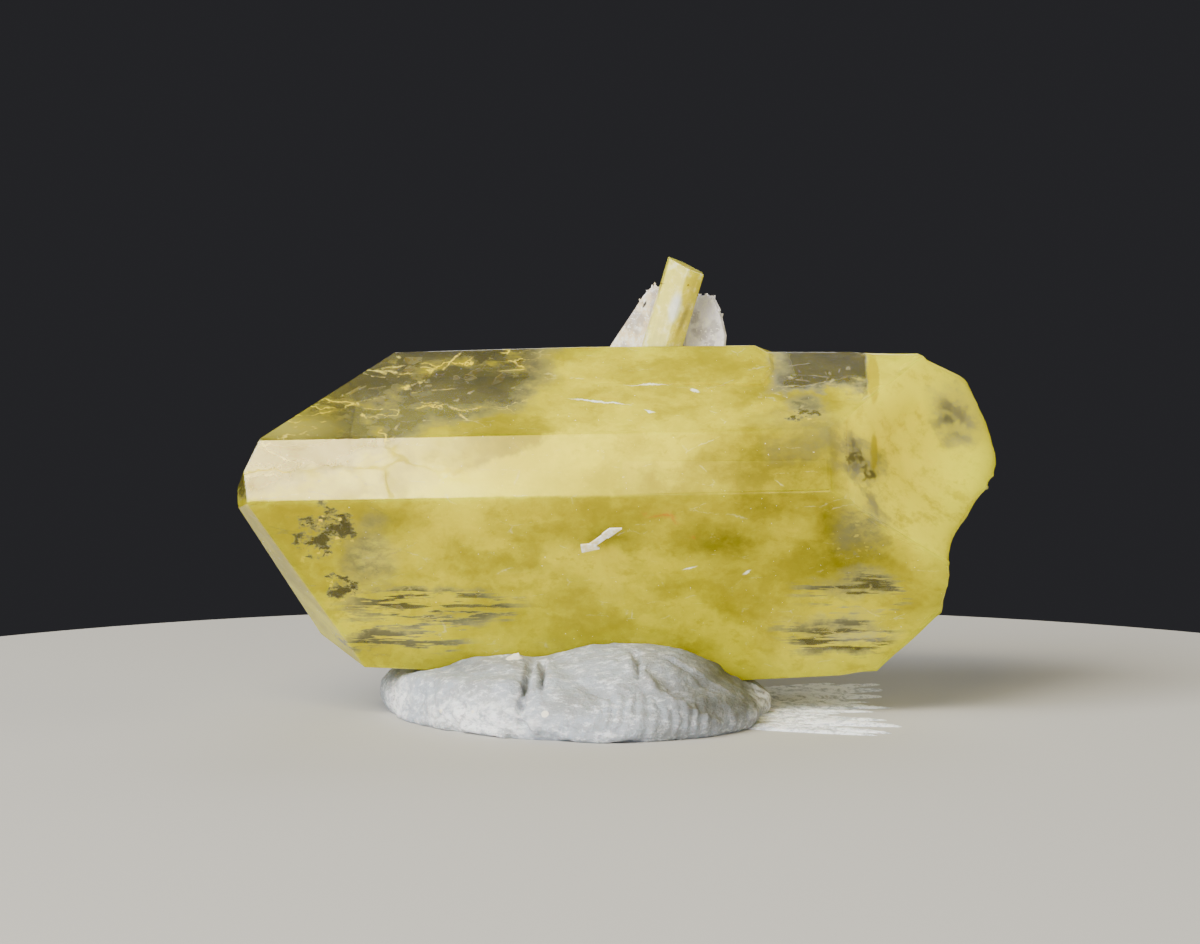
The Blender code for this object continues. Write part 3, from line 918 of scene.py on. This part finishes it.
class CLUSTER_OT_crystal(bpy.types.Operator):
    """Makes the large crystal: bevelled faces, growth layers, and a rough surface on its broken end"""
    bl_idname = "cluster.crystal"
    bl_label = "Large crystal"

    def execute(self, context):
        settings = context.scene.cluster_crystal
        piece = cut_block("crystal_body", CRYSTAL_FACES.values())
        bevel_edges(piece, settings.edge, 2)
        for covers, faces in GROWTH_LAYERS:
            layer = cut_block("layer", faces.values())
            shared = [face for key, face in CRYSTAL_FACES.items() if key not in covers]
            combine(layer, cut_block("shape", shared, grow=-LAYER_INSET), "INTERSECT")
            bevel_edges(layer, settings.layer_edge, 1)
            combine(piece, layer, "UNION")
        combine(piece, cut_block("notch", NOTCH_FACES, inward=True), "DIFFERENCE")
        for middle, radius in CHIPS:
            chip = primitive("chip", bpy.ops.mesh.primitive_ico_sphere_add, subdivisions=5,
                             radius=radius * MM, location=Vector(middle) * MM)
            combine(piece, chip, "DIFFERENCE")

        edit(piece)
        low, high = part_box("brazilianite_crystal")
        start = Vector((settings.slice_from, low.y, low.z))
        for axis in range(3):
            normal = Vector((0.0, 0.0, 0.0))
            normal[axis] = 1.0
            for step in range(int((high[axis] - start[axis]) / settings.slice)):
                place = Vector(start)
                place[axis] = start[axis] + step * settings.slice
                select_faces(piece, lambda face: (
                    axis == 0 or min(v.co.x for v in face.verts) > start.x - MERGE))
                bpy.ops.mesh.bisect(plane_co=place, plane_no=normal)
        leave_edit()

        def on_break(co):
            """How rough a point is: most where the plain faces are gone, less on them near the end, then 0."""
            inside = to_nearest(co, PRISM_FACES.values())
            fade = min(1.0, (co.x - settings.slice_from) / settings.blend - 0.1)
            if fade <= 0.0:
                return 0.0
            if inside > ON_FACE:
                return fade * min(1.0, inside / BREAK_RAMP + 0.3)
            return fade * max(0.0, 1.0 - to_nearest(co, BREAK_FACES.values()) / settings.blend)
        rough = weigh(piece, "break", on_break)
        finish_with(piece, "SMOOTH", iterations=30, factor=0.5, vertex_group=rough)
        depth = settings.break_relief
        roughen(piece, "break waves", 2.2, 4, vertex_group=rough, strength=depth, mid_level=0.9)
        roughen(piece, "break nicks", 0.9, 2, vertex_group=rough, strength=depth * 0.5, mid_level=0.7)

        values = [on_break(vertex.co) for vertex in piece.data.vertices]
        piece.data.attributes.new("broken", "FLOAT", "POINT").data.foreach_set("value", values)
        edit(piece)
        select_faces(piece, lambda face: all(values[v.index] > 0 for v in face.verts))
        bpy.ops.mesh.faces_shade_smooth()
        leave_edit()
        piece.vertex_groups.clear()

        piece.data.materials.append(brazilianite(settings))
        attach(piece, BODY)
        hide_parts("brazilianite_crystal")
        return {"FINISHED"}


def shard(draw, middle, half, turn, cuts):
    """A splinter: a thin block with its ends cut away along random planes."""
    piece = primitive("shard", bpy.ops.mesh.primitive_cube_add, size=2.0, location=middle, rotation=turn,
                      scale=half)
    ahead = piece.rotation_euler.to_matrix() @ Vector((1.0, 0.0, 0.0))
    side = piece.rotation_euler.to_matrix() @ Vector((0.0, 0.0, 1.0))
    apply_place(piece)
    edit(piece)
    for index in range(cuts):
        way = 1.0 if index % 2 else -1.0
        normal = (ahead * way + side * draw.uniform(-2.2, 2.2)).normalized()
        trim(middle + ahead * way * half[0] * draw.uniform(0.25, 0.8), normal)
    leave_edit()
    return piece


def joined(pieces, name):
    deselect()
    for one in pieces:
        one.select_set(True)
    bpy.context.view_layer.objects.active = pieces[0]
    bpy.ops.object.join()
    return named(name)


class CLUSTER_OT_veils(bpy.types.Operator):
    """Scatters the golden veils inside the large crystal, and lays the white flake on its front"""
    bl_idname = "cluster.veils"
    bl_label = "Veils and flake"

    def execute(self, context):
        draw = random.Random(5)
        made = []
        for count, middle, spread, sizes, (lie, lie_spread) in VEILS:
            for _ in range(count):
                size = draw.uniform(*sizes) * MM
                place = Vector([m * MM + draw.uniform(-s, s) * MM for m, s in zip(middle, spread)])
                turn = (math.radians(draw.uniform(-VEIL_ROLL, VEIL_ROLL)),
                        -math.radians(lie + draw.uniform(-lie_spread, lie_spread)),
                        math.radians(draw.uniform(-VEIL_YAW, VEIL_YAW)))
                place.y += max(0.0, VEIL_DEPTH + 0.8 * size - to_nearest(place, CRYSTAL_FACES.values())) * 1.3
                if to_nearest(place, CRYSTAL_FACES.values()) < VEIL_DEPTH + 0.5 * size:
                    continue
                half = Vector((size, size * VEIL_SHAPE[1], size * VEIL_SHAPE[0] * draw.uniform(0.3, 1.6)))
                made.append(shard(draw, place, half, turn, SHARD_CUTS))
        veils = joined(made, "inner_veils")
        veils.data.materials.append(cleavage("inner veil", "#e8cc1a", "#fff3a8"))
        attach(veils, BODY)

        heading, tilt, distance = PRISM_FACES["lower front"]
        normal = direction(heading, tilt)
        tail, root, wide = FLAKE
        tail, root = tail * MM, root * MM
        ahead = (tail - root).normalized()
        turn = Matrix((ahead, normal, ahead.cross(normal))).transposed().to_euler()
        length = (tail - root).length / 2
        parts = []
        for shift, long, broad in FLAKE_PARTS:
            middle = (tail + root) / 2 + ahead * (shift * length)
            middle += normal * (FLAKE_LIFT - normal.dot(middle - CRYSTAL_MIDDLE) + distance * MM)
            half = Vector((length * long, FLAKE_THICKNESS / 2, wide * broad * MM))
            parts.append(shard(draw, middle, half, turn, SHARD_CUTS))
        flake = joined(parts, "cleavage_flake")
        flake.data.materials.append(cleavage("cleavage flake", "#efe0a4", "#fffcf2"))
        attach(flake, BODY)
        return {"FINISHED"}


class CLUSTER_OT_small_crystal(bpy.types.Operator):
    """Makes the small crystal, and brings its foot down to the ledge"""
    bl_idname = "cluster.small_crystal"
    bl_label = "Small crystal"

    def execute(self, context):
        piece = copy_of_node("small_crystal", "small_crystal_prism")
        bring_down(piece)
        finish_with(piece, "BEVEL", width=SMALL_EDGE, segments=2, limit_method="ANGLE",
                    angle_limit=math.radians(20), use_clamp_overlap=True)
        piece.data.materials.append(pale_brazilianite())
        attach(piece, BODY)
        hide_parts("small_crystal")
        return {"FINISHED"}


def bring_down(piece):
    """Moves a piece's flat foot down to the face that it stands on."""
    normal = direction(*LEDGE_TOP)
    edit(piece)
    select_faces(piece, lambda face: face.normal.dot(normal) < -0.99)
    bpy.ops.transform.translate(value=-normal * FOOT_DROP)
    leave_edit()


class CLUSTER_OT_mica(bpy.types.Operator):
    """Makes the two books of mica beside the small crystal"""
    bl_idname = "cluster.mica"
    bl_label = "Mica books"

    def execute(self, context):
        draw = random.Random(3)
        for node, slot, tint in (("mica_blade_left", "pale_mica", "#f0debc"),
                                 ("mica_blade_right", "grey_mica", "#f4f0ff")):
            sheets = []
            for index in range(MICA_SHEETS):
                sheet = copy_of_node(node, "sheet")
                bring_down(sheet)
                corners = [v.co.copy() for v in sheet.data.vertices]
                broad = max(sheet.data.polygons, key=lambda face: face.area).normal.copy()
                low, high = min(co.dot(broad) for co in corners), max(co.dot(broad) for co in corners)
                middle = sum(corners, Vector()) / len(corners)
                step = (high - low) / MICA_SHEETS
                planes = [(broad * (low + index * step + MICA_GAP * step), -broad),
                          (broad * (low + (index + 1) * step - MICA_GAP * step), broad)]
                up = (Vector((0.0, 0.0, 1.0)) - broad * broad.z).normalized()
                across = up.cross(broad)
                for turn in range(-80, 100, 24):
                    angle = math.radians(turn + draw.uniform(-12, 12))
                    way = up * math.cos(angle) + across * math.sin(angle)
                    edge = max(co.dot(way) for co in corners) - middle.dot(way)
                    planes.append((middle + way * (edge - draw.uniform(*MICA_TRIM) * MM), way))
                edit(sheet)
                for place, normal in planes:
                    trim(place, normal)
                bpy.ops.mesh.select_all(action="SELECT")
                bpy.ops.mesh.fill_holes(sides=0)
                bpy.ops.mesh.select_all(action="SELECT")
                bpy.ops.mesh.normals_make_consistent(inside=False)
                leave_edit()
                sheets.append(sheet)
                rim = [v.co.copy() for v in sheet.data.vertices if v.co.z > middle.z]
                for _ in range(MICA_SPLINTERS):
                    spot = draw.choice(rim) + broad * draw.uniform(-0.5, 0.5) * step
                    turn = [math.radians(draw.uniform(0, 360)) for _ in range(3)]
                    half = Vector([draw.uniform(*sizes) * MM for sizes in SPLINTER_SIZES])
                    sheets.append(shard(draw, spot, half, turn, 3))
            piece = joined(sheets, node + "_sheets")
            piece.data.materials.clear()
            piece.data.materials.append(muscovite(slot.replace("_", " "), tint))
            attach(piece, BODY)
            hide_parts(node)
        return {"FINISHED"}


class CLUSTER_OT_putty(bpy.types.Operator):
    """Presses the putty: lumps fused to one soft mass under the crystal, and streaks fused to a thin smear
    beside it
    """
    bl_idname = "cluster.putty"
    bl_label = "Putty"

    def execute(self, context):
        settings = context.scene.cluster_putty
        clay = putty_clay(settings)
        rows = [*LUMPS, *((middle, (radius, radius, radius * 0.8), 20.0) for middle, radius in CRUMBS)]
        piece = fused("putty_mass", rows, settings.voxel)
        finish_with(piece, "SMOOTH", iterations=4, factor=0.5)
        for path, width, height in PUTTY_MARKS:
            mark = weigh(piece, "mark", near_path(path, width * MM))
            finish_with(piece, "DISPLACE", strength=height * MM, mid_level=0.0, vertex_group=mark)
            piece.vertex_groups.clear()

        deselect()
        bpy.ops.object.empty_add(location=RIDGE_MIDDLE)
        centre = bpy.context.view_layer.objects.active
        centre.scale = [RIDGE_SPACING / WOOD_PERIOD] * 3
        bpy.context.view_layer.update()
        mark = weigh(piece, "ridges", near_path(RIDGE_PATH, RIDGE_REACH))
        rings = bpy.data.textures.new("finger ridges", "WOOD")
        rings.wood_type, rings.noise_basis_2 = "RINGNOISE", "SIN"
        rings.noise_scale, rings.turbulence = 1.2, 9.0
        finish_with(piece, "DISPLACE", texture=rings, texture_coords="OBJECT", texture_coords_object=centre,
                    strength=RIDGE_HEIGHT, mid_level=0.5, vertex_group=mark)
        bpy.data.objects.remove(centre)
        for size, depth, height in CLAY_CLOUDS:
            roughen(piece, "clay", size, depth, strength=height * MM, mid_level=0.5)
        stand_on_floor(piece)
        room = copy_of_node("brazilianite_crystal", "room")
        finish_with(room, "DISPLACE", strength=settings.gap, mid_level=0.0)
        combine(piece, room, "DIFFERENCE")
        self.finish(piece, clay)

        draw = random.Random(11)
        rows = []
        (x0, y0), (x1, y1) = SMEAR_FROM
        for index in range(SMEAR_STREAKS):
            share = index / (SMEAR_STREAKS - 1)
            turn = SMEAR_HEADINGS[0] + share * (SMEAR_HEADINGS[1] - SMEAR_HEADINGS[0]) + draw.uniform(-5, 5)
            start = Vector((x0 + share * (x1 - x0) + draw.uniform(-0.6, 0.6), y0 + share * (y1 - y0), 0.0))
            ahead = Vector((math.cos(math.radians(turn)), math.sin(math.radians(turn)), 0.0))
            length = min(draw.uniform(*SMEAR_LENGTHS), (SMEAR_END - start.x) / ahead.x)
            wide = draw.uniform(*SMEAR_HALF_WIDTHS)
            high = wide * draw.uniform(*SMEAR_HEIGHTS)
            rows.append((start + ahead * length / 2, (length / 2, wide, high), turn))
        smear = fused("putty_smear", rows, settings.smear_voxel)
        stand_on_floor(smear)
        mark = weigh(smear, "standing", lambda co: co.z / SMEAR_FOOT)
        roughen(smear, "smear grit", 0.4, 2, vertex_group=mark, strength=0.09 * MM, mid_level=0.6,
                direction="Z")
        self.finish(smear, clay)
        return {"FINISHED"}

    def finish(self, piece, clay):
        pick(piece)
        bpy.ops.object.shade_smooth_by_angle(angle=math.radians(50))
        piece.vertex_groups.clear()
        piece.data.materials.clear()
        piece.data.materials.append(clay)
        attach(piece, BODY)
        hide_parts("putty")


def fused(name, rows, voxel):
    """Ellipsoids melted into one mesh: the middle and half sizes of each in mm, and its turn in degrees."""
    lumps = [primitive("lump", bpy.ops.mesh.primitive_uv_sphere_add, segments=48, ring_count=24, radius=1.0,
                       location=Vector(middle) * MM, rotation=(0.0, 0.0, math.radians(turn)),
                       scale=Vector(radii) * MM) for middle, radii, turn in rows]
    piece = joined(lumps, name)
    apply_place(piece)
    finish_with(piece, "REMESH", mode="VOXEL", voxel_size=voxel)
    return piece


def near_path(path, width):
    """A weight that is 1 on a path given in mm and eases to 0 at a width from it."""
    points = [Vector(p) * MM for p in path]
    low = [min(p[axis] for p in points) - width for axis in range(3)]
    high = [max(p[axis] for p in points) + width for axis in range(3)]

    def weight(co):
        if any(co[axis] < low[axis] or co[axis] > high[axis] for axis in range(3)):
            return 0.0
        away = width
        for first, last in zip(points, points[1:]):
            step = last - first
            share = (co - first).dot(step) / step.length_squared if step.length_squared else 0.0
            away = min(away, (co - first - step * min(max(share, 0.0), 1.0)).length)
        return (1.0 - (away / width) ** 2) ** 2
    return weight


def stand_on_floor(piece):
    """Cuts a piece flat where it stands."""
    below = primitive("below", bpy.ops.mesh.primitive_cube_add, size=BLOCK, location=(0.0, 0.0, -BLOCK / 2))
    combine(piece, below, "DIFFERENCE")


class CLUSTER_PT_panel(bpy.types.Panel):
    """Lists the steps that dress the cluster"""
    bl_idname = "CLUSTER_PT_panel"
    bl_label = "Brazilianite cluster"
    bl_space_type = "VIEW_3D"
    bl_region_type = "UI"
    bl_category = "Brazilianite"

    def draw(self, context):
        for step in STEPS:
            self.layout.operator(step.bl_idname)


STEPS = (CLUSTER_OT_stage, CLUSTER_OT_crystal, CLUSTER_OT_veils, CLUSTER_OT_small_crystal, CLUSTER_OT_mica,
         CLUSTER_OT_putty)
SETTINGS = {"cluster_stage": StageSettings, "cluster_crystal": CrystalSettings,
            "cluster_putty": PuttySettings}


def register():
    for name, group in SETTINGS.items():
        bpy.utils.register_class(group)
        setattr(bpy.types.Scene, name, PointerProperty(type=group))
    for made in (*STEPS, CLUSTER_PT_panel):
        bpy.utils.register_class(made)


def unregister():
    for made in (CLUSTER_PT_panel, *reversed(STEPS)):
        bpy.utils.unregister_class(made)
    for name, group in SETTINGS.items():
        delattr(bpy.types.Scene, name)
        bpy.utils.unregister_class(group)


def main():
    register()
    bpy.ops.cluster.stage()
    bpy.ops.cluster.crystal()
    bpy.ops.cluster.veils()
    bpy.ops.cluster.small_crystal()
    bpy.ops.cluster.mica()
    bpy.ops.cluster.putty()


if __name__ == "__main__":
    main()
